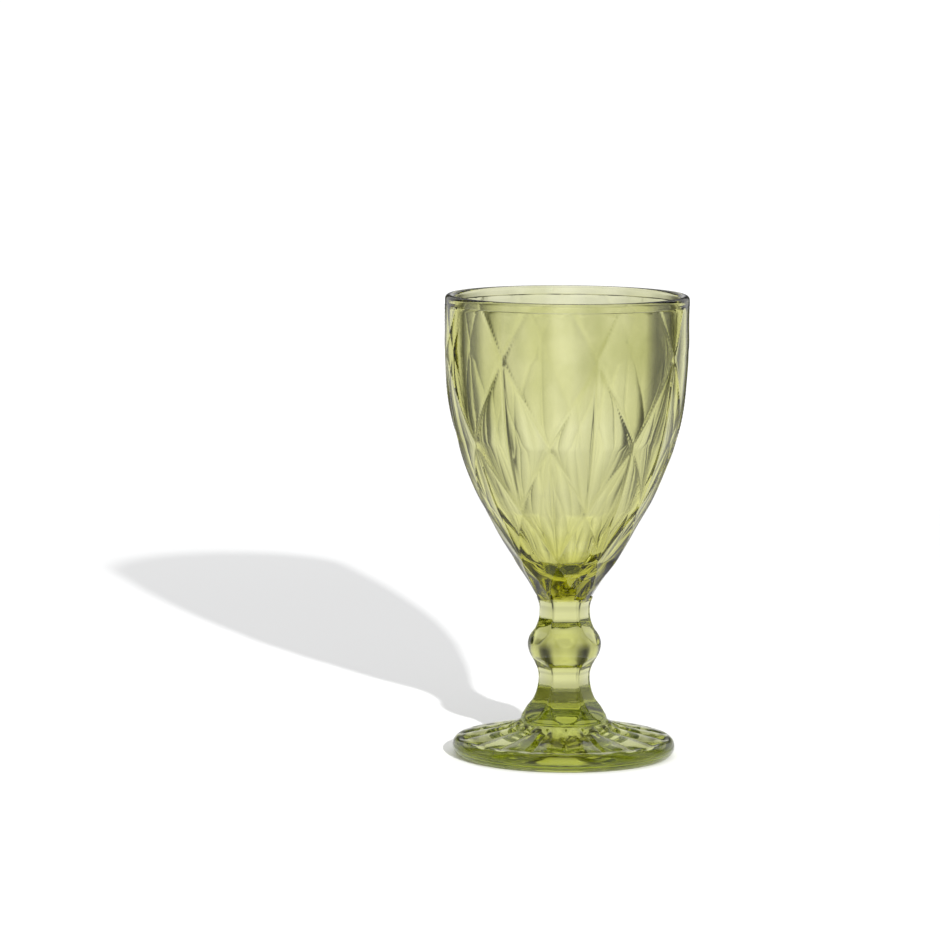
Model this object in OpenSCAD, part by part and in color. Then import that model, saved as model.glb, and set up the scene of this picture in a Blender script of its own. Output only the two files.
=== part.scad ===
// Stemmed wine glass of heavy pressed glass, made as three hot-joined
// pieces: a bowl with a diamond lattice, a six-sided stem with a knop,
// and a fluted foot. Units are mm and +Z is up. The glass stands on Z = 0
// with its axis on the Z axis, and -Y is its front.

/* [Overall] */
// Height from the table to the top of the rim
height = 165; // [150:1:185]

/* [Bowl] */
// Outer diameter of the bowl at its widest
bowl_d = 87.6; // [80:0.2:95]
// Thickness of the bowl's wall
wall_t = 3.2; // [2.6:0.1:3.8]
// Number of diamonds round the bowl
diamonds = 8; // [6:1:10]
// Turn of the diamond lattice about the axis
lattice_turn = 14; // [-22.5:0.5:22.5]
// Width of the raised ridges between the diamonds
ridge_w = 1.3; // [0.8:0.1:1.8]
// Height of the ridges above the bowl's wall
ridge_h = 0.45; // [0.2:0.05:0.7]
// Depth of the lip band above the mould's parting line
lip_h = 3.4; // [2.5:0.1:5]

/* [Stem] */
// Diameter of the stem's two waists, over the rounded corners
waist_d = 18; // [16:0.2:20]
// Diameter of the knop
knop_d = 26.2; // [24:0.2:29]
// Diameter of the collar where the stem spreads on to the foot
collar_d = 30.6; // [28:0.2:33]
// Turn of the stem's front face about the axis
stem_turn = 4; // [-30:1:30]

/* [Foot] */
// Diameter of the foot
foot_d = 79.4; // [72:0.2:86]
// Number of flutes round the foot
flutes = 18; // [16:1:24]
// Turn of the flutes about the axis
flute_turn = 2; // [-10:0.5:10]
// Radius of the valley between two flutes at the foot's edge
valley_r = 4.5; // [2.5:0.1:6]
// Depth of the valleys
valley_t = 0.7; // [0.4:0.05:1]
// Height of the hollow under the foot
hollow_h = 2.6; // [1:0.1:3.5]

/* [Hidden] */
$fn = 96;

// Scale of every height to the chosen overall height
kz = height / 165;
// Scale of the radii of the bowl to its chosen diameter
kr = bowl_d / 87.6;
waist_r = waist_d / 2;
knop_r = knop_d / 2;
collar_r = collar_d / 2;
foot_r = foot_d / 2;

// Levels of the two joints between the pieces
foot_top = 12.8 * kz;
stem_top = 57 * kz;

// Smooth curve through a list of [z, r] knots, read at height z
function seg(k, z, i = 0) =
    i >= len(k) - 2 || z <= k[i + 1][0] ? i : seg(k, z, i + 1);
function slope(k, i) =
    let (a = max(i - 1, 0), b = min(i + 1, len(k) - 1))
    (k[b][1] - k[a][1]) / (k[b][0] - k[a][0]);
function curve(k, z) =
    let (i = seg(k, z), h = k[i + 1][0] - k[i][0], t = (z - k[i][0]) / h)
    (2 * t * t * t - 3 * t * t + 1) * k[i][1]
    + (t * t * t - 2 * t * t + t) * h * slope(k, i)
    + (3 * t * t - 2 * t * t * t) * k[i + 1][1]
    + (t * t * t - t * t) * h * slope(k, i + 1);

// Evenly spaced levels from a to b
function levels(a, b, n) = [for (i = [0:n]) a + (b - a) * i / n];

// Outer radius of the bowl below its lip band
bowl_knots = [
    [57, 10], [60, 11.5], [64, 13.9], [70, 17.8], [77, 21.9], [84, 25.7],
    [92, 30.3], [100, 33.8], [108, 36.9], [116, 39.3], [124, 41],
    [134, 42.3], [146, 43.4], [154, 43.2], [160, 42.9], [166, 42.9]
];
function bowl_r(z) = kr * curve(bowl_knots, z / kz);

// Inner radius of the bowl
floor_z = 67 * kz;
inner_knots = [
    [67, 0], [67.7, 5], [69.5, 8.6], [73, 12.4], [78, 16.4], [85, 21.8],
    [92, 26.4], [100, 30.3], [108, 33.6], [116, 36.1], [124, 37.9],
    [134, 39.2], [146, 40], [156, 40.1], [166, 40.2]
];
function inner_r(z) = kr * curve(inner_knots, z / kz) - (wall_t - 3.2);

// Corner radius of the stem, over its rounded edges
stem_knots = [
    [12.8, 15.3], [14, 15.15], [15.6, 14.5], [17.6, 13.2], [20.5, 11.0],
    [24, 9.6], [28, 9.0], [31, 9.3], [34, 10.6], [37, 12.4], [40, 13.1],
    [43, 12.4], [46, 10.3], [49, 9.2], [52, 8.9], [54.5, 9.1], [57, 10]
];
function stem_scale(z) =
    z < 20.5 ? collar_r / 15.3 : z > 34 && z < 46 ? knop_r / 13.1 : waist_r / 9;
function stem_r(z) = stem_scale(z / kz) * curve(stem_knots, z / kz);

// Distance of the stem's six faces from the axis. The faces run out on
// the knop and on the collar, and run up into the base of the bowl.
face_knots = [
    [11, 15.4], [14.5, 14.2], [17.6, 12.2], [20.5, 10.1], [24, 8.7],
    [28, 8.1], [31, 8.4], [34, 9.9], [37.5, 13.2], [39.5, 14.2],
    [42, 13.2], [45.5, 9.9], [49, 8.4], [52, 8.05], [54.5, 8.3],
    [57, 9.2], [60, 11.1], [63, 14], [66, 17.5]
];
function face_r(z) = stem_scale(z / kz) * curve(face_knots, z / kz);

// Top of the foot between the collar and the rounded edge, as [r, z]
foot_knots = [
    [14, 13.1], [16, 12.5], [17.5, 11.75], [20, 10.75], [24, 9.75],
    [28, 8.9], [34, 7.6], [37, 6.7]
];
function foot_z(r) = kz * curve(foot_knots, r * 39.7 / foot_r);

// Heights of the lattice's rows of crossings. The first lies above the
// rim, which cuts the top row of diamonds short.
lattice_rows = [178, 145, 114, 89.5, 71, 58];
// Point on the bowl at a turn and a height
function on_bowl(a, z) =
    let (r = bowl_r(min(z, height)))
    [r * cos(a), r * sin(a), z];
function unit(v) = v / norm(v);

// Six-sided solid between two heights, its faces following face_r
module six_faces(z0, z1, n) {
    z = levels(z0, z1, n);
    intersection_for (k = [0:2])
        rotate([0, 0, stem_turn - 90 + 60 * k])
            rotate([90, 0, 0])
                linear_extrude(height = 60, center = true)
                    polygon(concat(
                        [for (i = [0:n]) [face_r(z[i]), z[i]]],
                        [for (i = [n:-1:0]) [-face_r(z[i]), z[i]]]));
}

// Thin plate that stands on the bowl's wall along a chord from p to q
module ridge_plate(p, q, width) {
    mid = (p + q) / 2;
    x = unit(q - p);
    out = [mid[0], mid[1], 0];
    w = unit(cross(out, x));
    n = cross(x, w);
    len = norm(q - p) + 0.6;
    multmatrix([
        [x[0], w[0], n[0], mid[0]],
        [x[1], w[1], n[1], mid[1]],
        [x[2], w[2], n[2], mid[2]],
        [0, 0, 0, 1]
    ])
        translate([-len / 2, -width / 2, -0.9])
            cube([len, width, 6]);
}

// Every ridge of the lattice, and the crease down each lower diamond
module ridge_plates() {
    step = 180 / diamonds;
    for (row = [0:4], k = [0:diamonds - 1], side = [-1, 1]) {
        a = lattice_turn - 90 + 2 * step * k + (row % 2 == 0 ? step : 0);
        ridge_plate(on_bowl(a, kz * lattice_rows[row]),
                    on_bowl(a + side * step, kz * lattice_rows[row + 1]),
                    ridge_w * (1 - 0.04 * row));
    }
    for (row = [1:3], half = [0:1], k = [0:diamonds - 1]) {
        a = lattice_turn - 90 + 2 * step * k + (row % 2 == 0 ? step : 0);
        ridge_plate(on_bowl(a, kz * lattice_rows[row + half]),
                    on_bowl(a, kz * lattice_rows[row + half + 1]),
                    ridge_w * (0.86 - 0.07 * (row + half)));
    }
}

module bowl() color("YellowGreen", 0.5) {
    lip = height - lip_h;
    outer = levels(stem_top, lip - 0.6, 44);
    inner = levels(height - 2, floor_z + 1.4 * kz, 32);
    rim = kr * 43.35;
    rim_in = inner_r(height - 2);
    rim_mid = (rim + rim_in) / 2;
    rim_t = (rim - rim_in) / 2;
    union() {
        intersection() {
            rotate_extrude()
                polygon(concat(
                    [[0, stem_top]],
                    [for (z = outer) [bowl_r(z), z]],
                    [[rim - 0.05, lip], [rim, lip + 0.8]],
                    [for (a = [0:15:180])
                        [rim_mid + rim_t * cos(a),
                         height - rim_t + rim_t * sin(a)]],
                    [for (z = inner) [inner_r(z), z]],
                    [[inner_r(floor_z + 0.7 * kz), floor_z + 0.7 * kz],
                     [3.2, floor_z + 0.2], [0, floor_z]]));
            union() {
                six_faces(stem_top - 1, 66 * kz, 10);
                translate([0, 0, 65.5 * kz])
                    cylinder(h = height, r = 60);
            }
        }
        intersection() {
            rotate_extrude()
                polygon(concat(
                    [[0, 59.5 * kz]],
                    [for (z = levels(59.5 * kz, lip - 0.8, 26))
                        [bowl_r(z) + ridge_h, z]],
                    [[0, lip - 0.8]]));
            ridge_plates();
        }
    }
}

module stem() color("OliveDrab", 0.8)
    intersection() {
        rotate_extrude()
            polygon(concat(
                [[0, foot_top]],
                [for (z = levels(foot_top, stem_top, 40)) [stem_r(z), z]],
                [[0, stem_top]]));
        six_faces(foot_top - 1, stem_top + 1, 26);
    }

module foot() color("DarkOliveGreen", 0.9)
    difference() {
        rotate_extrude()
            polygon(concat(
                [[0, hollow_h], [12, hollow_h * 0.93], [22, hollow_h * 0.66],
                 [29, hollow_h * 0.28], [32, 0.2], [32.8, 0]],
                [[foot_r - 2.9, 0], [foot_r - 1.9, 0.25],
                 [foot_r - 0.9, 1.05], [foot_r - 0.25, 2.2], [foot_r, 3.4],
                 [foot_r - 0.12, 4.4], [foot_r - 0.6, 5.3 * kz],
                 [foot_r - 1.5, 6.1 * kz]],
                [for (r = levels(foot_r - 2.7, 15.6, 14)) [r, foot_z(r)]],
                [[15.4, foot_top], [0, foot_top]]));
        // Valleys between the flutes, deepest near the edge
        for (k = [0:flutes - 1])
            rotate([0, 0, flute_turn - 90 + 360 / flutes * k])
                valley_tool();
    }

// Slim cone laid along the foot's slope, just deep enough to leave a valley
module valley_tool() {
    r0 = 19.5;
    r1 = foot_r - 1.6;
    n0 = valley_r * 0.3;
    z0 = foot_z(r0) + n0 - valley_t * 0.6;
    z1 = foot_z(r1) + valley_r - valley_t;
    run = r1 - r0;
    translate([r0, 0, z0])
        rotate([0, 90 + atan((z0 - z1) / run), 0])
            cylinder(h = norm([run, z0 - z1]), r1 = n0, r2 = valley_r,
                     $fn = 48);
}

bowl();
stem();
foot();
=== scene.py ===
"""Looks of a stemmed wine glass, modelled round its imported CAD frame.

The glass is heavy pressed glass in a clear olive green. Three pieces are made
here and stand for the plain CAD solids: a bowl whose outside is cut into a
lattice of flat diamonds, a six-sided stem with a knop, and a fluted foot.
The pieces meet face to face, as hot-joined glass does, so the faces at the
two joints neither bend nor reflect light.
"""

import logging
import math
from dataclasses import dataclass
from enum import Enum

import bmesh
import bpy
import numpy as np
from mathutils import Matrix, Vector


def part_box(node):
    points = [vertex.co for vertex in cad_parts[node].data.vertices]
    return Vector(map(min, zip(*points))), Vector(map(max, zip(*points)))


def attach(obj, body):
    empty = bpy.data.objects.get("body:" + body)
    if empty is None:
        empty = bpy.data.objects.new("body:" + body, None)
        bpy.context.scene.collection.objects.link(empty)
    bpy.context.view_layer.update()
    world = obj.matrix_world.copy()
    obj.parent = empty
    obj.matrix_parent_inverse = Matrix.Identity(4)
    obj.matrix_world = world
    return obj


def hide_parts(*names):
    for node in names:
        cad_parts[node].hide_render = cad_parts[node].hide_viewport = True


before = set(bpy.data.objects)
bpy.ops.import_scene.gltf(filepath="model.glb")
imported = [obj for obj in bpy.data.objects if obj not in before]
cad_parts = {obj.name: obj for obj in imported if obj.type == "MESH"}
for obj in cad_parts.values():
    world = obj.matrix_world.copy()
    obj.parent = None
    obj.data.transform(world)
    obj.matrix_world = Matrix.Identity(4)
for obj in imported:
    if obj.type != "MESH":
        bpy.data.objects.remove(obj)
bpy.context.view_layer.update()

MM = 0.001
FRONT = -math.pi / 2
JOINED = "joined"

# Vertices closer than this are one point
MERGE = MM * 0.005
# A face this upright or more lies level
LEVEL = 0.999
# Edges sharper than this stay crisp in the shading
CREASE = math.radians(50)
FOOT_CREASE = math.radians(40)

logging.basicConfig(level=logging.INFO, format="%(message)s")
log = logging.getLogger("wine_glass")


class Slot(Enum):
    """Material slot names, one for each gather of glass; each piece carries one, which nothing here
    reads.
    """

    BOWL = "bowl_glass"
    STEM = "stem_glass"
    FOOT = "foot_glass"


@dataclass(frozen=True)
class Curve:
    """Smooth curve through a few knots, as a spline lath bends round pins."""

    knots: tuple[tuple[float, float], ...]

    def at(self, x: np.ndarray | float) -> np.ndarray:
        """Reads the curve.

        Args:
            x: Places along the curve, in the knots' own units.

        Returns:
            The curve's values at those places.
        """
        kx, ky = np.array(self.knots, float).T
        tangent = np.empty_like(ky)
        tangent[1:-1] = (ky[2:] - ky[:-2]) / (kx[2:] - kx[:-2])
        tangent[0] = (ky[1] - ky[0]) / (kx[1] - kx[0])
        tangent[-1] = (ky[-1] - ky[-2]) / (kx[-1] - kx[-2])
        x = np.asarray(x, float)
        i = np.clip(np.searchsorted(kx, x, side="right") - 1, 0, len(kx) - 2)
        h = kx[i + 1] - kx[i]
        t = (x - kx[i]) / h
        start = (2 * t**3 - 3 * t**2 + 1) * ky[i] + (t**3 - 2 * t**2 + t) * h * tangent[i]
        end = (3 * t**2 - 2 * t**3) * ky[i + 1] + (t**3 - t**2) * h * tangent[i + 1]
        return start + end


def soft_min(a: np.ndarray, b: np.ndarray, blend: float) -> np.ndarray:
    """Takes the smaller of two radii, with the corner between them rounded.

    Args:
        a: First radii.
        b: Second radii.
        blend: Reach of the rounding, in the radii's own units.

    Returns:
        The rounded minimum.
    """
    h = np.clip(0.5 + 0.5 * (b - a) / blend, 0, 1)
    return b * (1 - h) + a * h - blend * h * (1 - h)


def smooth_step(x: np.ndarray, low: float, high: float) -> np.ndarray:
    """Rises smoothly from 0 to 1 between two values.

    Args:
        x: The values that are read.
        low: Where the rise starts.
        high: Where it ends.

    Returns:
        The share of the rise at each value.
    """
    t = np.clip((x - low) / (high - low), 0, 1)
    return t * t * (3 - 2 * t)


class Bench:
    """The modelling bench: operators that more than one piece needs."""

    @staticmethod
    def clear() -> None:
        """Leaves nothing selected and no object in edit mode."""
        if bpy.context.object and bpy.context.object.mode != "OBJECT":
            bpy.ops.object.mode_set(mode="OBJECT")
        bpy.ops.object.select_all(action="DESELECT")

    @staticmethod
    def edit(piece: bpy.types.Object, mode: str = "VERT") -> None:
        """Opens a piece in edit mode with nothing selected.

        Args:
            piece: The piece to open.
            mode: VERT, EDGE or FACE.
        """
        Bench.clear()
        piece.select_set(True)
        bpy.context.view_layer.objects.active = piece
        bpy.ops.object.mode_set(mode="EDIT")
        bpy.ops.mesh.select_mode(type=mode)
        bpy.ops.mesh.select_all(action="DESELECT")

    @staticmethod
    def spin_outline(name: str, outline: list[tuple[float, float]], steps: int) -> bpy.types.Object:
        """Draws an outline point by point and spins it round the Z axis.

        Args:
            name: Name of the new piece.
            outline: Points of (radius, height), in metres.
            steps: Number of segments round the axis.

        Returns:
            The spun piece, with its poles closed.
        """
        Bench.clear()
        first = Vector((outline[0][0], 0, outline[0][1]))
        bpy.ops.mesh.primitive_plane_add(size=MM, location=(0, 0, 0))
        piece = bpy.context.object
        piece.name = piece.data.name = name
        bpy.ops.object.mode_set(mode="EDIT")
        bpy.ops.mesh.select_mode(type="VERT")
        bpy.ops.mesh.merge(type="CENTER")
        bpy.ops.transform.translate(value=first)
        for (r0, z0), (r1, z1) in zip(outline, outline[1:]):
            step = (r1 - r0, 0, z1 - z0)
            bpy.ops.mesh.extrude_region_move(TRANSFORM_OT_translate={"value": step})
        bpy.ops.mesh.select_all(action="SELECT")
        bpy.ops.mesh.spin(steps=steps, angle=2 * math.pi, center=(0, 0, 0), axis=(0, 0, 1))
        bpy.ops.mesh.select_all(action="SELECT")
        bpy.ops.mesh.remove_doubles(threshold=MERGE)
        bpy.ops.object.mode_set(mode="OBJECT")
        return piece

    @staticmethod
    def points(piece: bpy.types.Object) -> np.ndarray:
        """Reads a piece's vertices.

        Args:
            piece: The piece to read.

        Returns:
            One row for each vertex, in metres.
        """
        co = np.empty(len(piece.data.vertices) * 3)
        piece.data.vertices.foreach_get("co", co)
        return co.reshape(-1, 3)

    @staticmethod
    def place(piece: bpy.types.Object, points: np.ndarray) -> None:
        """Puts a piece's vertices at new points.

        Args:
            piece: The piece to shape.
            points: One row for each vertex, in metres.
        """
        piece.data.vertices.foreach_set("co", points.ravel())
        piece.data.update()

    @staticmethod
    def join(pieces: list[bpy.types.Object]) -> bpy.types.Object:
        """Joins pieces into the first one.

        Args:
            pieces: The pieces to join.

        Returns:
            The joined piece.
        """
        Bench.clear()
        for piece in pieces:
            piece.select_set(True)
        bpy.context.view_layer.objects.active = pieces[0]
        bpy.ops.object.join()
        return pieces[0]

    @staticmethod
    def select_rim(piece: bpy.types.Object, low: float, high: float) -> None:
        """Selects the open edges between two heights of a piece in edit mode.

        Args:
            piece: The piece, in edit mode.
            low: Lowest height, in metres.
            high: Highest height, in metres.
        """
        mesh = bmesh.from_edit_mesh(piece.data)
        for edge in mesh.edges:
            inside = all(low <= v.co.z <= high for v in edge.verts)
            edge.select_set(edge.is_boundary and inside)
        mesh.select_flush_mode()
        bmesh.update_edit_mesh(piece.data)

    @staticmethod
    def close(piece: bpy.types.Object, low: float, high: float) -> None:
        """Closes an open end with one flat face.

        Args:
            piece: The piece to close.
            low: Height just below the end, in metres.
            high: Height just above it, in metres.
        """
        Bench.edit(piece, "EDGE")
        Bench.select_rim(piece, low, high)
        bpy.ops.mesh.edge_face_add()
        bpy.ops.object.mode_set(mode="OBJECT")

    @staticmethod
    def finish(piece: bpy.types.Object, crease: float) -> None:
        """Turns a closed piece's faces outwards and shades it.

        Args:
            piece: The piece to finish.
            crease: Angle past which an edge stays sharp, in radians.
        """
        Bench.edit(piece)
        bpy.ops.mesh.select_all(action="SELECT")
        bpy.ops.mesh.normals_make_consistent(inside=False)
        bpy.ops.object.mode_set(mode="OBJECT")
        bpy.ops.object.shade_smooth_by_angle(angle=crease)

    @staticmethod
    def mark_joints(piece: bpy.types.Object, heights: tuple[float, ...]) -> None:
        """Marks the flat faces where a piece is joined hot to its neighbour.

        Args:
            piece: The piece, whose joint faces lie level.
            heights: Heights of its joints, in metres.
        """
        layer = piece.data.attributes.new(JOINED, "FLOAT", "FACE")
        for face in piece.data.polygons:
            level = abs(face.normal.z) > LEVEL
            at_joint = any(abs(face.center.z - z) < MM * 0.03 for z in heights)
            layer.data[face.index].value = float(level and at_joint)


class Wires:
    """Lays nodes in one node tree and links them."""

    def __init__(self, tree: bpy.types.NodeTree) -> None:
        """Takes the tree to work in."""
        self.nodes, self.links = tree.nodes, tree.links

    def maths(self, kind: str, first: object, second: object = 0.0) -> bpy.types.NodeSocket:
        """Adds a Math node.

        Args:
            kind: Name of the operation.
            first: A socket or a number.
            second: A socket or a number.

        Returns:
            The node's output.
        """
        made = self.nodes.new("ShaderNodeMath")
        made.operation = kind
        for socket, value in zip(made.inputs, (first, second)):
            if isinstance(value, bpy.types.NodeSocket):
                self.links.new(value, socket)
            else:
                socket.default_value = value
        return made.outputs[0]

    def ramp(
        self, value: bpy.types.NodeSocket, low: float, high: float, top: float = 1.0
    ) -> bpy.types.NodeSocket:
        """Adds a smooth rise from 0 to a top value.

        Args:
            value: The socket that is read.
            low: Where the rise starts.
            high: Where it ends.
            top: The value that it ends at.

        Returns:
            The node's output.
        """
        made = self.nodes.new("ShaderNodeMapRange")
        made.interpolation_type = "SMOOTHSTEP"
        self.links.new(value, made.inputs["Value"])
        made.inputs["From Min"].default_value = low
        made.inputs["From Max"].default_value = high
        made.inputs["To Max"].default_value = top
        return made.outputs["Result"]

    def noise(
        self,
        position: bpy.types.NodeSocket,
        scale: bpy.types.NodeSocket | float,
        detail: float,
        upright: float = 1.0,
    ) -> bpy.types.NodeSocket:
        """Adds a noise texture, which may be drawn out upright.

        Args:
            position: Socket with the place on the piece.
            scale: Waves per metre, as a socket or a number.
            detail: Number of finer layers.
            upright: Scale along Z; below 1 the noise is drawn out upright.

        Returns:
            The noise's factor.
        """
        stretch = self.nodes.new("ShaderNodeMapping")
        stretch.inputs["Scale"].default_value = (1, 1, upright)
        self.links.new(position, stretch.inputs["Vector"])
        made = self.nodes.new("ShaderNodeTexNoise")
        made.inputs["Detail"].default_value = detail
        self.links.new(stretch.outputs["Vector"], made.inputs["Vector"])
        if isinstance(scale, bpy.types.NodeSocket):
            self.links.new(scale, made.inputs["Scale"])
        else:
            made.inputs["Scale"].default_value = scale
        return made.outputs["Fac"]

    def split(self, vector: bpy.types.NodeSocket) -> tuple[bpy.types.NodeSocket, ...]:
        """Splits a vector.

        Args:
            vector: The vector's socket.

        Returns:
            The sockets of its X, Y and Z.
        """
        made = self.nodes.new("ShaderNodeSeparateXYZ")
        self.links.new(vector, made.inputs["Vector"])
        return tuple(made.outputs)

    def length(self, vector: bpy.types.NodeSocket) -> bpy.types.NodeSocket:
        """Measures a vector.

        Args:
            vector: The vector's socket.

        Returns:
            The socket of its length.
        """
        made = self.nodes.new("ShaderNodeVectorMath")
        made.operation = "LENGTH"
        self.links.new(vector, made.inputs[0])
        return made.outputs["Value"]


@dataclass(frozen=True)
class Grain:
    """One layer of noise in the glass: its scale per metre, detail and upright scale."""

    scale: float
    detail: float
    upright: float = 1.0


class SkinGroup:
    """Node group for the skin of pressed glass, built once for all pieces. Its tint holds the glass's
    own cord streaks and painted shade patches in the upper bowl.
    """

    NAME = "pressed_glass_skin"
    FINE = Grain(900.0, 0.0)
    SMEAR = Grain(45.0, 3.0, 0.4)
    CORD = Grain(28.0, 2.0, 0.2)
    PATCH = Grain(62.0, 3.0, 0.7)
    RIPPLE_DETAIL, RIPPLE_UPRIGHT = 1.0, 0.55
    FINE_SHARE = 0.05
    PATCH_EDGE = (0.36, 0.66)
    # Heights in metres over which the painted shade patches come in: they stand for the blotchy shade
    # that refraction gives in the upper bowl
    PAINTED_SHADE_RISE = (0.085, 0.14)
    OLIVE = (0.55, 0.58, 0.3, 1.0)
    INPUTS = (
        ("Ripple Size", 60.0), ("Ripple Height", 1.0), ("Streak", 0.03),
        ("Painted Shade Patches", 0.0), ("Wear", 0.03), ("Joined", 0.0),
    )

    @classmethod
    def get(cls) -> bpy.types.NodeTree:
        """Returns the group, and builds it the first time.

        Returns:
            The group, with its tint, roughness and height outputs.
        """
        if cls.NAME in bpy.data.node_groups:
            return bpy.data.node_groups[cls.NAME]
        group = bpy.data.node_groups.new(cls.NAME, "ShaderNodeTree")
        group.interface.new_socket("Position", in_out="INPUT", socket_type="NodeSocketVector")
        for name, value in cls.INPUTS:
            made = group.interface.new_socket(name, in_out="INPUT", socket_type="NodeSocketFloat")
            made.default_value = value
        for name, kind in (("Tint", "Color"), ("Roughness", "Float"), ("Height", "Float")):
            group.interface.new_socket(name, in_out="OUTPUT", socket_type="NodeSocket" + kind)
        cls.wire(group)
        return group

    @staticmethod
    def layer(wires: Wires, place: bpy.types.NodeSocket, grain: Grain) -> bpy.types.NodeSocket:
        """Adds one layer of noise and returns its factor."""
        return wires.noise(place, grain.scale, grain.detail, grain.upright)

    @classmethod
    def wire(cls, group: bpy.types.NodeTree) -> None:
        """Lays the group's nodes and links.

        Args:
            group: The empty group with its sockets.
        """
        wires = Wires(group)
        given = group.nodes.new("NodeGroupInput").outputs
        sink = group.nodes.new("NodeGroupOutput").inputs
        place = given["Position"]
        free = wires.maths("SUBTRACT", 1.0, given["Joined"])

        ripple = wires.noise(place, given["Ripple Size"], cls.RIPPLE_DETAIL, cls.RIPPLE_UPRIGHT)
        fine = wires.maths("MULTIPLY", cls.layer(wires, place, cls.FINE), cls.FINE_SHARE)
        relief = wires.maths("ADD", ripple, fine)
        tall = wires.maths("MULTIPLY", relief, given["Ripple Height"])
        group.links.new(wires.maths("MULTIPLY", tall, free), sink["Height"])

        smear = cls.layer(wires, place, cls.SMEAR)
        rough = wires.maths("MULTIPLY", smear, given["Wear"])
        group.links.new(wires.maths("MULTIPLY", rough, free), sink["Roughness"])

        cord = wires.maths("MULTIPLY", cls.layer(wires, place, cls.CORD), given["Streak"])
        # Painted shade: darker olive patches, only in the upper bowl, stand in for the blotchy light
        # and shade that refraction through the facets gives; the cord streaks are the glass's own
        # colour
        patch = wires.ramp(cls.layer(wires, place, cls.PATCH), *cls.PATCH_EDGE)
        rising = wires.ramp(wires.split(place)[2], *cls.PAINTED_SHADE_RISE)
        painted_shade_patches = wires.maths("MULTIPLY", wires.maths("MULTIPLY", patch, rising), given["Painted Shade Patches"])
        share = wires.maths("MULTIPLY", wires.maths("ADD", cord, painted_shade_patches), free)
        mix = group.nodes.new("ShaderNodeMix")
        mix.data_type = "RGBA"
        mix.inputs["A"].default_value = (1.0, 1.0, 1.0, 1.0)
        mix.inputs["B"].default_value = cls.OLIVE
        group.links.new(share, mix.inputs["Factor"])
        group.links.new(mix.outputs["Result"], sink["Tint"])


@dataclass(frozen=True)
class PressedGlass:
    """Finish of one gather of clear olive-green glass."""

    name: str
    takes_up: tuple[float, float, float]
    ripple_size: float
    ripple_height: float
    streak: float
    # Share of painted shade patches in the upper bowl's tint
    painted_shade_patches: float
    wear: float
    ior: float = 1.5
    relief: float = MM * 0.1

    def skin(self, wires: Wires) -> bpy.types.Node:
        """Places the skin group with this glass's own values.

        Args:
            wires: The material's nodes.

        Returns:
            The group node.
        """
        place = wires.nodes.new("ShaderNodeTexCoord")
        joined = wires.nodes.new("ShaderNodeAttribute")
        joined.attribute_name = JOINED
        made = wires.nodes.new("ShaderNodeGroup")
        made.node_tree = SkinGroup.get()
        made.inputs["Ripple Size"].default_value = self.ripple_size
        made.inputs["Ripple Height"].default_value = self.ripple_height
        made.inputs["Streak"].default_value = self.streak
        made.inputs["Painted Shade Patches"].default_value = self.painted_shade_patches
        made.inputs["Wear"].default_value = self.wear
        wires.links.new(place.outputs["Object"], made.inputs["Position"])
        wires.links.new(joined.outputs["Fac"], made.inputs["Joined"])
        return made

    def material(self) -> bpy.types.Material:
        """Builds the finish.

        Returns:
            The glass material.
        """
        made = bpy.data.materials.new(self.name)
        made.use_nodes = True
        wires = Wires(made.node_tree)
        shader = wires.nodes["Principled BSDF"]
        shader.inputs["Transmission Weight"].default_value = 1.0
        shader.inputs["Metallic"].default_value = 0.0
        skin = self.skin(wires)
        wires.links.new(skin.outputs["Tint"], shader.inputs["Base Color"])
        wires.links.new(skin.outputs["Roughness"], shader.inputs["Roughness"])
        bump = wires.nodes.new("ShaderNodeBump")
        bump.inputs["Strength"].default_value = 1.0
        bump.inputs["Distance"].default_value = self.relief
        wires.links.new(skin.outputs["Height"], bump.inputs["Height"])
        wires.links.new(bump.outputs["Normal"], shader.inputs["Normal"])
        bend = wires.nodes.new("ShaderNodeMapRange")
        bend.inputs["To Min"].default_value = self.ior
        bend.inputs["To Max"].default_value = 1.0
        wires.links.new(skin.inputs["Joined"].links[0].from_socket, bend.inputs["Value"])
        wires.links.new(bend.outputs["Result"], shader.inputs["IOR"])
        density = max(self.takes_up)
        depth = wires.nodes.new("ShaderNodeVolumeAbsorption")
        left = tuple(1 - share / density for share in self.takes_up)
        depth.inputs["Color"].default_value = (*left, 1.0)
        depth.inputs["Density"].default_value = density
        wires.links.new(depth.outputs["Volume"], wires.nodes["Material Output"].inputs["Volume"])
        return made


class GlassPiece:
    """A piece of glass that stands for one plain CAD solid."""

    node: str
    slot: Slot
    finish: PressedGlass

    def build(self) -> bpy.types.Object:
        """Makes the piece's mesh; each kind of piece has its own way."""
        raise NotImplementedError

    def make(self) -> bpy.types.Object:
        """Builds the piece, gives it its glass, hangs it under the root body and hides its CAD node.

        Returns:
            The finished piece.
        """
        piece = self.build()
        piece.data.materials.clear()
        piece.data.materials.append(self.finish.material())
        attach(piece, "root")
        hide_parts(self.node)
        triangles = sum(len(p.vertices) - 2 for p in piece.data.polygons)
        log.info("%s: %d triangles, finish %s", piece.name, triangles, self.finish.name)
        return piece


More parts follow.
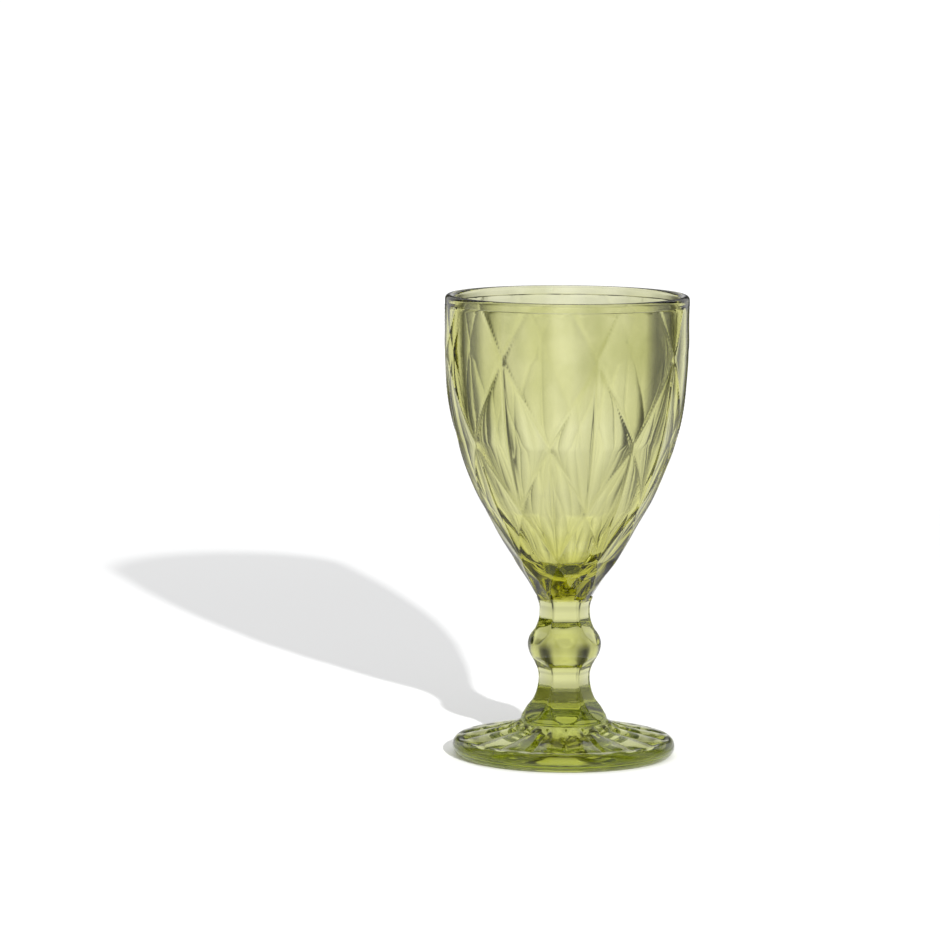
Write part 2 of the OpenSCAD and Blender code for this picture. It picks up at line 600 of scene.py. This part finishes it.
@dataclass(frozen=True)
class StemSection:
    """Section of the stem at a height: a round body with six flats."""

    turn: float = math.radians(4)
    round_body: Curve = Curve((
        (12.8, 15.7), (13.3, 15.4), (14, 15.2), (14.8, 14.9), (15.8, 14.3),
        (17.6, 13.2), (20.5, 11.0), (24, 9.7), (28, 9.15), (31, 9.5), (34, 10.8),
        (37, 12.4), (40, 13.1), (43, 12.4), (46, 10.4), (49, 9.3), (52, 9.0),
        (54.5, 9.15), (57, 10),
    ))
    flats: Curve = Curve((
        (11, 17.0), (13.4, 15.4), (15, 14.2), (17.6, 12.1), (20.5, 10.0), (24, 8.6),
        (28, 8.05), (31, 8.35), (34, 9.8), (36.2, 11.95), (38, 13.3), (39.4, 13.7),
        (40.8, 13.0), (43, 11.75), (45.5, 9.7), (49, 8.15), (52, 7.95), (54.5, 8.15),
        (57, 9.05), (60, 10.9), (63, 13.6), (66, 17.5),
    ))
    edge_round: float = 0.22

    def press(self, body: np.ndarray, z: np.ndarray, turn: np.ndarray) -> np.ndarray:
        """Presses the six flats into a round body.

        Args:
            body: Radii of the round body, in mm.
            z: Heights, in mm.
            turn: Turns about the axis, in radians.

        Returns:
            The radii with the flats pressed in, in mm.
        """
        sixth = math.pi / 3
        off = (turn - FRONT - self.turn + sixth / 2) % sixth - sixth / 2
        flat = self.flats.at(z) / np.cos(off)
        return soft_min(body, flat, self.edge_round)


@dataclass
class Bowl(GlassPiece):
    """The bowl: a lattice of flat diamonds outside, smooth inside."""

    joint_z: float
    rim_z: float
    section: StemSection
    node: str = "bowl"
    slot: Slot = Slot.BOWL
    finish: PressedGlass = PressedGlass("bowl_glass", (25, 25.2, 128), 55, 0.6, 0.05, 0.3, 0.02)
    turn: float = math.radians(14)
    diamonds: int = 8
    rows: tuple[float, ...] = (178, 145, 114, 89.5, 71, 57)
    parting_row: float = 0.5
    cuts: int = 23
    crown: float = 0.22
    dish: float = 1.15
    root: float = 1.3
    bead: float = 0.0039
    flats_end: float = 66.0
    lip_radius: float = 43.3
    wall: Curve = Curve((
        (57, 10), (60, 11.5), (64, 13.9), (67, 16.1), (70, 18.2), (77, 22.3), (84, 26.1),
        (92, 30.7), (100, 34.2), (108, 37.3), (116, 39.8), (124, 41.4),
        (134, 42.75), (146, 43.8), (154, 43.5), (160, 43.3), (166, 43.3),
    ))
    inside: Curve = Curve((
        (67, 0), (67.7, 5), (69.5, 8.6), (73, 12.4), (78, 16.4), (85, 21.8),
        (92, 26.4), (100, 30.3), (108, 33.6), (116, 36.1), (124, 37.9),
        (134, 39.2), (146, 40), (156, 40.1), (166, 40.2),
    ))
    seam_turn: float = math.radians(-31)
    seam_lean: float = math.radians(0.0675)
    seam_proud: float = 0.05
    seam_width: float = 0.4
    seam_fade: tuple[float, float] = (70, 84)
    parting_z: float = 161.64
    parting_height: float = 0.18
    parting_depth: float = 0.3
    floor_z: float = 67.03

    def facet(self, u: np.ndarray, row: np.ndarray) -> np.ndarray:
        """Finds how far the diamonds' flats lie inside the lattice lines.

        Args:
            u: Places round the bowl, in half diamonds from a crossing.
            row: Places down the bowl, in rows of crossings.

        Returns:
            The share of the outer radius that is left, 1 on the lines.
        """
        band = np.minimum(np.floor(row + 1e-9), len(self.rows) - 2)
        f = row - band
        parity = (band + 1) % 2
        w = np.abs(u - (2 * np.round((u - parity) / 2) + parity))
        upper = w < f
        top_row = np.where(upper, band, band - 1)
        creased = (top_row == 1) | (top_row == 2)
        low = np.where(upper, np.where(creased, 0, -f), f)
        high = np.where(upper, f, np.where(creased, 1, 2 - f))
        step = math.pi / self.diamonds
        half = (high - low) / 2 * step
        off = (w - (low + high) / 2) * step
        sunk = 1 - np.cos(half) / np.cos(off)
        flatness = np.where(creased, self.dish, np.where(top_row < 1, self.crown, self.root))
        on_line = (np.abs(w - f) < 0.01) | (creased & (np.abs(w - np.round(w)) < 0.01))
        bead = np.where(on_line, self.bead, 0)
        return 1 - sunk * flatness + bead

    def seam(self, turn: np.ndarray, z: np.ndarray, radius: np.ndarray) -> np.ndarray:
        """Finds the fine raised line that the mould's two halves leave.

        Args:
            turn: Turns about the axis, in radians.
            z: Heights, in mm.
            radius: Radii of the wall, in mm.

        Returns:
            How far the line stands proud, in mm.
        """
        line = FRONT + self.seam_turn + (self.rows[1] - z) * self.seam_lean
        away = (turn - line + math.pi) % (2 * math.pi) - math.pi
        opposite = (away + 2 * math.pi) % (2 * math.pi) - math.pi
        near = sum(np.exp(-((a * radius / self.seam_width) ** 2)) for a in (away, opposite))
        return self.seam_proud * near * smooth_step(z, *self.seam_fade)

    def sheet(self) -> bpy.types.Object:
        """Makes the outside: a flat lattice, cut fine and rolled into the wall.

        Returns:
            The outside, open at both ends.
        """
        around, down = 2 * self.diamonds, len(self.rows) - 1
        Bench.clear()
        bpy.ops.mesh.primitive_grid_add(x_subdivisions=around, y_subdivisions=down, size=1)
        sheet = bpy.context.object
        sheet.name = sheet.data.name = "lattice_bowl"
        for odd, method in ((0, "FIXED_ALTERNATE"), (1, "FIXED")):
            Bench.edit(sheet, "FACE")
            mesh = bmesh.from_edit_mesh(sheet.data)
            for face in mesh.faces:
                if len(face.verts) == 4:
                    centre = face.calc_center_median()
                    column = math.floor((centre.x + 0.5) * around)
                    row = math.floor((0.5 - centre.y) * down)
                    face.select_set((column + row) % 2 == odd)
            bmesh.update_edit_mesh(sheet.data)
            bpy.ops.mesh.quads_convert_to_tris(quad_method=method)
        bpy.ops.mesh.select_all(action="SELECT")
        bpy.ops.mesh.subdivide(number_cuts=self.cuts)
        bpy.ops.mesh.select_all(action="SELECT")
        cut = (0, 0.5 - self.parting_row / down, 0)
        bpy.ops.mesh.bisect(plane_co=cut, plane_no=(0, 1, 0), clear_outer=True, threshold=1e-5)
        bpy.ops.object.mode_set(mode="OBJECT")
        self.roll(sheet, around, down)
        Bench.edit(sheet)
        bpy.ops.mesh.select_all(action="SELECT")
        bpy.ops.mesh.remove_doubles(threshold=MERGE)
        bpy.ops.object.mode_set(mode="OBJECT")
        return sheet

    def roll(self, sheet: bpy.types.Object, around: int, down: int) -> None:
        """Rolls the flat sheet up and beds each point on the bowl's wall.

        Args:
            sheet: The flat sheet, one unit square.
            around: Half diamonds round the bowl.
            down: Bands of the lattice from top to bottom.
        """
        flat = Bench.points(sheet)
        u = np.round((flat[:, 0] + 0.5) * around, 4)
        row = np.round((0.5 - flat[:, 1]) * down, 4)
        rows = np.array(self.rows)
        band = np.minimum(np.floor(row).astype(int), down - 1)
        z = rows[band] + (rows[band + 1] - rows[band]) * (row - band)
        turn = FRONT + self.turn + u * math.pi / self.diamonds
        radius = self.wall.at(z) * self.facet(u, row)
        flats = self.section.press(radius, z, turn)
        radius = np.where(z < self.flats_end, flats, radius)
        radius = radius + self.seam(turn, z, radius)
        x, y = radius * np.cos(turn), radius * np.sin(turn)
        Bench.place(sheet, np.column_stack((x, y, z)) * MM)

    def outline(self) -> list[tuple[float, float]]:
        """Draws the lip and the inside, from the parting line to the axis.

        Returns:
            Points of (radius, height), in metres.
        """
        rim_z = self.rim_z / MM
        inner = float(self.inside.at(rim_z - 2))
        middle, thick = (self.lip_radius + inner) / 2, (self.lip_radius - inner) / 2
        groove = self.lip_radius - self.parting_depth
        points = [(groove, self.parting_z), (self.lip_radius, self.parting_z + self.parting_height)]
        for step in range(13):
            a = math.pi * step / 12
            points.append((middle + thick * math.cos(a), rim_z - thick + thick * math.sin(a)))
        points += [(float(self.inside.at(z)), float(z)) for z in np.linspace(rim_z - 3.5, 71, 44)]
        points += [(float(self.inside.at(z)), z) for z in (70, 69.2, 68.6, 68.1, 67.75, 67.5)]
        points += [(3.2, 67.25), (1.6, 67.08), (0, self.floor_z)]
        return [(r * MM, z * MM) for r, z in points]

    def build(self) -> bpy.types.Object:
        """Makes the whole bowl as one closed piece.

        Returns:
            The bowl.
        """
        sheet = self.sheet()
        steps = 2 * self.diamonds * (self.cuts + 1)
        liner = Bench.spin_outline("lip_and_inside", self.outline(), steps)
        points = Bench.points(liner)
        turn = np.arctan2(points[:, 1], points[:, 0]) + self.turn
        radius = np.hypot(points[:, 0], points[:, 1])
        points[:, 0], points[:, 1] = radius * np.cos(turn), radius * np.sin(turn)
        Bench.place(liner, points)
        bowl = Bench.join([sheet, liner])
        Bench.edit(bowl, "EDGE")
        Bench.select_rim(bowl, 160 * MM, 162 * MM)
        bpy.ops.mesh.bridge_edge_loops()
        Bench.close(bowl, self.joint_z - 0.5 * MM, self.joint_z + 0.5 * MM)
        Bench.finish(bowl, CREASE)
        Bench.mark_joints(bowl, (self.joint_z,))
        return bowl


@dataclass
class Stem(GlassPiece):
    """The stem: six flats, two waists, a knop and a spread base."""

    base_z: float
    top_z: float
    section: StemSection
    node: str = "stem"
    slot: Slot = Slot.STEM
    finish: PressedGlass = PressedGlass("stem_glass", (17, 16, 64), 90, 0.3, 0.03, 0.0, 0.01)
    steps: int = 192
    levels: int = 150
    gap: float = 0.02

    def build(self) -> bpy.types.Object:
        """Makes the stem as one closed piece.

        Returns:
            The stem.
        """
        low, high = self.base_z / MM + self.gap, self.top_z / MM - self.gap
        heights = np.linspace(low, high, self.levels)
        outline = [(float(self.section.round_body.at(z)) * MM, z * MM) for z in heights]
        stem = Bench.spin_outline("knopped_stem", outline, self.steps)
        points = Bench.points(stem) / MM
        body = np.hypot(points[:, 0], points[:, 1])
        turn = np.arctan2(points[:, 1], points[:, 0])
        radius = self.section.press(body, points[:, 2], turn)
        points[:, :2] *= (radius / body)[:, None]
        Bench.place(stem, points * MM)
        for z in (low * MM, high * MM):
            Bench.close(stem, z - 0.1 * MM, z + 0.1 * MM)
        Bench.finish(stem, CREASE)
        Bench.mark_joints(stem, (low * MM, high * MM))
        return stem


@dataclass
class Foot(GlassPiece):
    """The foot: flutes on top, a thick rounded edge and a hollow below."""

    top_z: float
    radius: float
    section: StemSection
    node: str = "foot"
    slot: Slot = Slot.FOOT
    finish: PressedGlass = PressedGlass("foot_glass", (13.5, 11.5, 46), 70, 0.5, 0.04, 0.0, 0.02)
    flutes: int = 18
    turn: float = math.radians(2)
    steps: int = 432
    valley: float = 0.8
    sharpness: float = 2.0
    collar: float = 15.6
    hollow: float = 2.6
    edge_depth: float = 2.9
    edge_height: float = 3.25
    edge_middle: float = 3.55
    flute_start: tuple[float, float] = (16.2, 19.5)
    flute_end: tuple[float, float] = (4.5, 1.0)
    slope: Curve = Curve((
        (14, 13.1), (16, 12.5), (17.5, 11.75), (20, 10.75), (24, 9.75),
        (28, 8.9), (34, 7.6), (37, 6.7),
    ))

    def outline(self) -> list[tuple[float, float]]:
        """Draws the foot from the axis on top, over the edge, to the axis below.

        Returns:
            Points of (radius, height), in metres.
        """
        edge = self.radius / MM
        top = self.top_z / MM
        points = [(0, top), (13.5, top), (self.collar, top)]
        points += [(float(r), float(self.slope.at(r))) for r in np.linspace(16.0, edge - 3.2, 44)]
        middle = edge - self.edge_depth
        for step in range(1, 20):
            a = math.radians(84 - 9.2 * step)
            height = self.edge_middle + self.edge_height * math.sin(a)
            points.append((middle + self.edge_depth * math.cos(a), height))
        points += [(middle, 0.1), (edge - 3.6, 0), (32.9, 0), (32.0, 0.12), (31, 0.35)]
        drop = Curve(((0, self.hollow), (12, 2.42), (22, 1.72), (29, 0.73), (31, 0.35)))
        points += [(float(r), float(drop.at(r))) for r in np.linspace(30, 0, 31)]
        return [(r * MM, z * MM) for r, z in points]

    def flute(self, points: np.ndarray) -> np.ndarray:
        """Sinks the narrow valleys between the flutes into the top.

        Args:
            points: The foot's vertices, in mm.

        Returns:
            The fluted vertices, in mm.
        """
        radius = np.hypot(points[:, 0], points[:, 1])
        turn = np.arctan2(points[:, 1], points[:, 0])
        pitch = 2 * math.pi / self.flutes
        off = np.abs((turn - FRONT - self.turn + pitch / 2) % pitch - pitch / 2)
        across = off / (pitch / 2)
        valley = (1 - across) ** self.sharpness
        edge = self.radius / MM
        run_in = smooth_step(radius, *self.flute_start)
        run_out = 1 - smooth_step(radius, edge - self.flute_end[0], edge - self.flute_end[1])
        top = points[:, 2] > self.edge_middle + 0.05
        points[:, 2] -= self.valley * valley * run_in * run_out * top
        return points

    def build(self) -> bpy.types.Object:
        """Makes the foot as one closed piece.

        Returns:
            The foot.
        """
        foot = Bench.spin_outline("fluted_foot", self.outline(), self.steps)
        points = self.flute(Bench.points(foot) / MM)
        radius = np.hypot(points[:, 0], points[:, 1])
        turn = np.arctan2(points[:, 1], points[:, 0])
        collar = (abs(radius - self.collar) < 0.01) & (points[:, 2] > self.top_z / MM - 0.1)
        low = np.full(radius.shape, self.top_z / MM)
        fitted = self.section.press(self.section.round_body.at(low), low, turn)
        scale = np.where(collar, fitted / np.maximum(radius, 1), 1)
        points[:, :2] *= scale[:, None]
        Bench.place(foot, points * MM)
        Bench.finish(foot, FOOT_CREASE)
        Bench.mark_joints(foot, (self.top_z,))
        return foot


@dataclass(frozen=True)
class Studio:
    """Pale floor, soft surrounding light and one low key light."""

    floor_size: float = 80.0
    floor_white: float = 0.82
    floor_glow: float = 0.3
    glow_reach: tuple[float, float] = (0.35, 1.7)
    key_power: float = 62.0
    key_size: float = 0.04
    key_place: tuple[float, float, float] = (0.592, -1.84, 0.8)
    camera_place: tuple[float, float, float] = (0.0, -1.6873, 0.3008)
    pitch: float = math.radians(6.713)
    yaw: float = math.radians(-1.157)
    roll: float = math.radians(0.36)
    lens: float = 183.1
    dome_radius: float = 0.26
    dome_hole: float = 0.046
    panels: float = 8.0
    panel_level: float = 0.93
    panel_swell: float = 0.16
    fold_depth: float = 0.035
    # Glow of the floor part close round the foot: a painted shadow of the foot
    painted_foot_shadow_level: float = 0.66
    band_dim: float = 0.16
    band_low: tuple[float, float] = (0.02, 0.12)
    band_high: tuple[float, float] = (0.2, 0.34)
    gap_edge: tuple[float, float] = (-0.2, 0.8)
    gap_rise: tuple[float, float] = (0.0, 0.07)
    gap_depth: float = 0.52
    melt: tuple[float, float] = (0.045, 0.13)
    top_dim: float = 0.25
    top_rise: tuple[float, float] = (0.45, 0.85)
    room_strength: float = 1.06
    room_front: tuple[float, float, float, float] = (1.12, 1.12, 1.12, 1)
    room_side: tuple[float, float, float, float] = (0.12, 0.13, 0.14, 1)
    room_fade: tuple[float, float] = (0.45, 0.85)

    def camera(self) -> None:
        """Sets the camera on the axis of view."""
        forward = Vector((
            math.sin(self.yaw) * math.cos(self.pitch),
            math.cos(self.yaw) * math.cos(self.pitch),
            -math.sin(self.pitch),
        ))
        level = Vector((math.cos(self.yaw), -math.sin(self.yaw), 0))
        upright = level.cross(forward)
        right = math.cos(self.roll) * level + math.sin(self.roll) * upright
        up = math.cos(self.roll) * upright - math.sin(self.roll) * level
        data = bpy.data.cameras.new("camera")
        data.lens = self.lens
        data.sensor_width = 36
        data.clip_end = 200
        made = bpy.data.objects.new("camera", data)
        turn = Matrix((right, up, -forward)).transposed().to_4x4()
        made.matrix_world = Matrix.Translation(self.camera_place) @ turn
        bpy.context.scene.collection.objects.link(made)
        bpy.context.scene.camera = made

    def floor(self) -> None:
        """Lays the pale floor."""
        Bench.clear()
        bpy.ops.mesh.primitive_plane_add(size=self.floor_size, location=(0, 0, 0))
        made = bpy.context.object
        made.name = made.data.name = "floor"
        paint = bpy.data.materials.new("pale_floor")
        paint.use_nodes = True
        wires = Wires(paint.node_tree)
        shader = wires.nodes["Principled BSDF"]
        shader.inputs["Base Color"].default_value = (*(self.floor_white,) * 3, 1)
        shader.inputs["Roughness"].default_value = 1.0
        shader.inputs["Specular IOR Level"].default_value = 0.0
        shader.inputs["Emission Color"].default_value = (1, 1, 1, 1)
        away = wires.length(wires.nodes.new("ShaderNodeTexCoord").outputs["Object"])
        glow = wires.ramp(away, *self.glow_reach, self.floor_glow)
        wires.links.new(glow, shader.inputs["Emission Strength"])
        made.data.materials.append(paint)

    def key(self) -> None:
        """Hangs the low key light, which casts the long pale shadow."""
        data = bpy.data.lights.new("key", "AREA")
        data.shape = "DISK"
        data.size = self.key_size
        data.energy = self.key_power
        data.cycles.use_multiple_importance_sampling = False
        made = bpy.data.objects.new("key", data)
        made.location = self.key_place
        made.rotation_euler = (-Vector(self.key_place)).to_track_quat("-Z", "Y").to_euler()
        bpy.context.scene.collection.objects.link(made)

    def dome(self) -> None:
        """Sets a dome of light and dark panels round the glass, for its shine only."""
        Bench.clear()
        bpy.ops.mesh.primitive_uv_sphere_add(
            segments=96, ring_count=48, radius=self.dome_radius, location=(0, 0, 0)
        )
        made = bpy.context.object
        made.name = made.data.name = "dome"
        self.press_flat(made)
        made.visible_camera = False
        made.visible_diffuse = False
        made.visible_shadow = False
        made.data.materials.append(self.dome_light())

    def press_flat(self, dome: bpy.types.Object) -> None:
        """Presses the dome's lower half flat on the floor, open round the foot.

        Args:
            dome: The dome, still a whole ball.
        """
        Bench.edit(dome)
        mesh = bmesh.from_edit_mesh(dome.data)
        for vert in mesh.verts:
            vert.select_set(vert.co.z < -MM)
        mesh.select_flush_mode()
        bmesh.update_edit_mesh(dome.data)
        bpy.ops.transform.resize(value=(1, 1, 0), center_override=(0, 0, 0))
        mesh = bmesh.from_edit_mesh(dome.data)
        for vert in mesh.verts:
            flat = abs(vert.co.z) < MM
            vert.select_set(flat and vert.co.xy.length < self.dome_hole)
        mesh.select_flush_mode()
        bmesh.update_edit_mesh(dome.data)
        bpy.ops.mesh.delete(type="VERT")
        bpy.ops.mesh.select_all(action="SELECT")
        bpy.ops.transform.translate(value=(0, 0, 0.2 * MM))
        bpy.ops.object.mode_set(mode="OBJECT")

    def dome_light(self) -> bpy.types.Material:
        """Makes the dome's glow: upright panels that melt into the floor, with a dimmer ring close
        round the foot as a painted shadow of the foot.

        Returns:
            The glowing material.
        """
        cloth = bpy.data.materials.new("dome_light")
        cloth.use_nodes = True
        wires = Wires(cloth.node_tree)
        wires.nodes.remove(wires.nodes["Principled BSDF"])
        glow = wires.nodes.new("ShaderNodeEmission")
        place = wires.nodes.new("ShaderNodeTexCoord").outputs["Object"]
        x, y, z = wires.split(place)
        turn = wires.maths("MULTIPLY", wires.maths("ARCTAN2", x, y), self.panels)
        shut = wires.ramp(wires.maths("COSINE", wires.maths("ADD", turn, math.pi)), *self.gap_edge)
        gap = wires.maths("MULTIPLY", shut, wires.ramp(z, *self.gap_rise, self.gap_depth))
        swell = wires.maths("SUBTRACT", wires.maths("COSINE", turn), 1.0)
        crown = wires.maths("ADD", wires.maths("MULTIPLY", swell, self.panel_swell), self.panel_level)
        folds = wires.maths("COSINE", wires.maths("ADD", wires.maths("MULTIPLY", turn, 3.0), 0.9))
        cloth_level = wires.maths("ADD", crown, wires.maths("MULTIPLY", folds, self.fold_depth))
        panel = wires.maths("SUBTRACT", cloth_level, gap)
        # Painted shadow: the flat floor part glows dimmer close round the foot, in place of the
        # foot's shadow on the floor seen through the glass
        reach = wires.length(place)
        start = wires.ramp(reach, *self.melt)
        painted_foot_shadow = wires.maths("MULTIPLY", wires.maths("SUBTRACT", 1.0, start), self.painted_foot_shadow_level)
        level = wires.maths("ADD", wires.maths("MULTIPLY", panel, start), painted_foot_shadow)
        height = wires.maths("DIVIDE", z, self.dome_radius)
        dim = wires.maths("SUBTRACT", 1.0, wires.ramp(height, *self.top_rise, self.top_dim))
        low_edge = wires.ramp(height, *self.band_low, self.band_dim)
        high_edge = wires.ramp(height, *self.band_high)
        band = wires.maths("MULTIPLY", low_edge, wires.maths("SUBTRACT", 1.0, high_edge))
        shade = wires.maths("SUBTRACT", dim, band)
        wires.links.new(wires.maths("MULTIPLY", level, shade), glow.inputs["Strength"])
        wires.links.new(glow.outputs["Emission"], wires.nodes["Material Output"].inputs["Surface"])
        return cloth

    def surroundings(self) -> None:
        """Makes the soft white room, darker at both sides."""
        world = bpy.data.worlds.new("studio")
        bpy.context.scene.world = world
        world.use_nodes = True
        wires = Wires(world.node_tree)
        background = wires.nodes["Background"]
        x, _, _ = wires.split(wires.nodes.new("ShaderNodeTexCoord").outputs["Generated"])
        across = wires.nodes.new("ShaderNodeValToRGB")
        stops = across.color_ramp.elements
        stops[0].position, stops[0].color = self.room_fade[0], self.room_front
        stops[1].position, stops[1].color = self.room_fade[1], self.room_side
        across.color_ramp.interpolation = "EASE"
        wires.links.new(wires.maths("ABSOLUTE", x), across.inputs["Fac"])
        wires.links.new(across.outputs["Color"], background.inputs["Color"])
        background.inputs["Strength"].default_value = self.room_strength

    def light_paths(self) -> None:
        """Lets light find its way through many walls of glass."""
        scene = bpy.context.scene
        scene.view_settings.view_transform = "Standard"
        scene.view_settings.look = "None"
        scene.cycles.max_bounces = 32
        scene.cycles.transmission_bounces = 32
        scene.cycles.glossy_bounces = 16
        scene.cycles.diffuse_bounces = 3
        scene.cycles.use_denoising = True
        scene.cycles.caustics_refractive = True
        scene.cycles.caustics_reflective = True
        scene.cycles.blur_glossy = 0.0
        scene.cycles.sample_clamp_indirect = 4.0

    def build(self) -> None:
        """Sets up the whole studio."""
        self.camera()
        self.floor()
        self.dome()
        self.key()
        self.surroundings()
        self.light_paths()


def main() -> None:
    """Builds the studio and the three pieces of glass, from the foot up."""
    Studio().build()
    section = StemSection()
    _, foot_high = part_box("foot")
    bowl_low, bowl_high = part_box("bowl")
    pieces = (
        Foot(top_z=foot_high[2], radius=foot_high[0], section=section),
        Stem(base_z=foot_high[2], top_z=bowl_low[2], section=section),
        Bowl(joint_z=bowl_low[2], rim_z=bowl_high[2], section=section),
    )
    for piece in pieces:
        piece.make()


if __name__ == "__main__":
    main()
